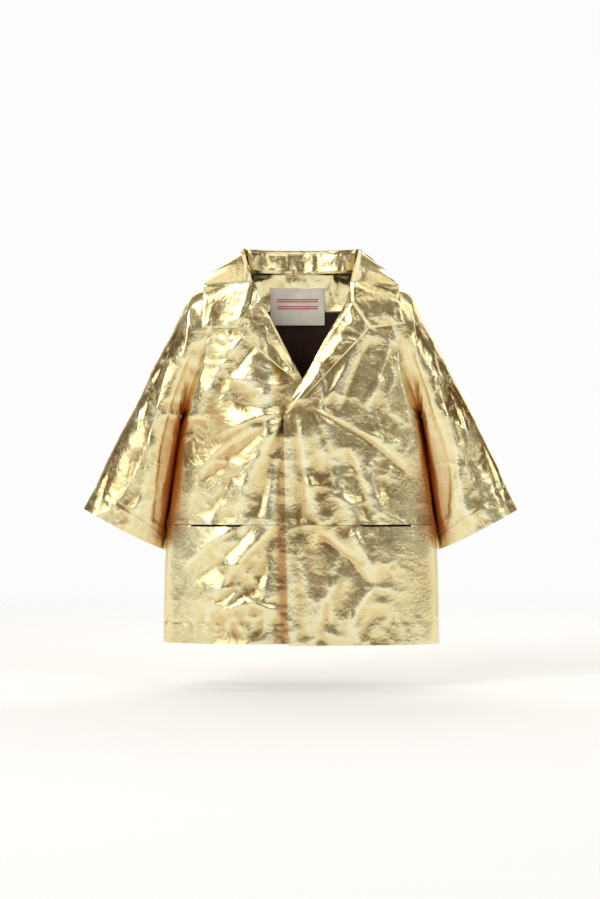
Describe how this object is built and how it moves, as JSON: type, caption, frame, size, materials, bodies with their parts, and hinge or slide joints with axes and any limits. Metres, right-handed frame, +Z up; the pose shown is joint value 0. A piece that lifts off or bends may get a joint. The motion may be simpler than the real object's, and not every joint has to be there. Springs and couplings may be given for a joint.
{
  "type": "child's short coat",
  "caption": "Child's short coat in crinkled gold foil-coated cloth: notched collar and lapels, hidden-snap front, wide raglan sleeves, waist seam with pockets, brown lining.",
  "frame": {"origin": "inner face of the back neck seam at the centre back, where the coat hangs from", "axes": "+X to the wearer's left, the width; +Y out of the back, the depth, so the front faces -Y; +Z up"},
  "size_m": [0.6138, 0.1048, 0.5573],
  "materials": {
    "shell": "crinkled pale gold foil coating, bright and metallic",
    "lining": "dark brown satin-weave lining",
    "label": null,
    "snap": "polished pressed brass",
    "thread": "gold polyester topstitching"
  },
  "bodies": {
    "root": {"back_panel": "shell", "left_shoulder": "shell", "right_shoulder": "shell", "left_upper_front": "shell", "right_upper_front": "shell", "left_lower_front": "shell", "right_lower_front": "shell", "left_pocket_end_tab": "shell", "right_pocket_end_tab": "shell", "left_pocket_bag": "lining", "right_pocket_bag": "lining", "back_neck_facing": "shell", "neck_label": "label", "back_lining": "lining", "left_front_lining": "lining", "right_front_lining": "lining", "left_shoulder_lining": "lining", "right_shoulder_lining": "lining", "back_hem_facing": "shell", "left_hem_facing": "shell", "right_hem_facing": "shell", "collar_stand": "shell", "left_collar_side": "shell", "right_collar_side": "shell", "left_collar_shoulder": "shell", "right_collar_shoulder": "shell", "snap_socket_1": "snap", "snap_stud_1": "snap"},
    "collar_turn_part": {"collar_back": "shell"},
    "left_revers": {"left_collar_leaf": "shell", "left_lapel": "shell"},
    "right_revers": {"right_collar_leaf": "shell", "right_lapel": "shell"},
    "left_flap": {"left_flap_upper": "shell", "left_flap_lower": "shell", "left_front_facing": "shell", "snap_socket_2": "snap", "snap_socket_3": "snap", "snap_socket_4": "snap"},
    "right_flap": {"right_flap_upper": "shell", "right_flap_lower": "shell", "right_front_facing": "shell", "snap_stud_2": "snap", "snap_stud_3": "snap", "snap_stud_4": "snap"},
    "left_arm": {"left_sleeve": "shell", "left_cuff_facing": "shell", "left_sleeve_lining": "lining"},
    "right_arm": {"right_sleeve": "shell", "right_cuff_facing": "shell", "right_sleeve_lining": "lining"}
  },
  "joints": [
    {"name": "left_sleeve_raise", "type": "hinge", "parent": "root", "child": "left_arm", "pos_m": [0.155, -0.037, -0.031], "axis": [0, -1, 0], "range_deg": [0, 25]},
    {"name": "right_sleeve_raise", "type": "hinge", "parent": "root", "child": "right_arm", "pos_m": [-0.155, -0.037, -0.031], "axis": [0, 1, 0], "range_deg": [0, 25]},
    {"name": "collar_turn", "type": "hinge", "parent": "root", "child": "collar_turn_part", "pos_m": [0, 0.007, 0.033], "axis": [1, 0, 0], "range_deg": [0, 150]},
    {"name": "left_revers_turn", "type": "hinge", "parent": "root", "child": "left_revers", "pos_m": [-0.025, -0.08707, -0.203], "axis": [-0.4737, -0.0418, -0.8797], "range_deg": [0, 85]},
    {"name": "right_revers_turn", "type": "hinge", "parent": "root", "child": "right_revers", "pos_m": [-0.001, -0.08545, -0.148], "axis": [-0.4683, 0.0722, 0.8806], "range_deg": [0, 85]},
    {"name": "left_front_open", "type": "hinge", "parent": "root", "child": "left_flap", "pos_m": [-0.025, -0.08966, -0.203], "axis": [-0.353, -0.0119, 0.9355], "range_deg": [0, 80]},
    {"name": "right_front_open", "type": "hinge", "parent": "root", "child": "right_flap", "pos_m": [-0.03, -0.08852, -0.203], "axis": [-0.2722, 0.0249, -0.9619], "range_deg": [0, 24]}
  ],
  "couplings": [
    {"joint": "right_front_open", "follows": "left_front_open", "ratio": 0.3}
  ]
}
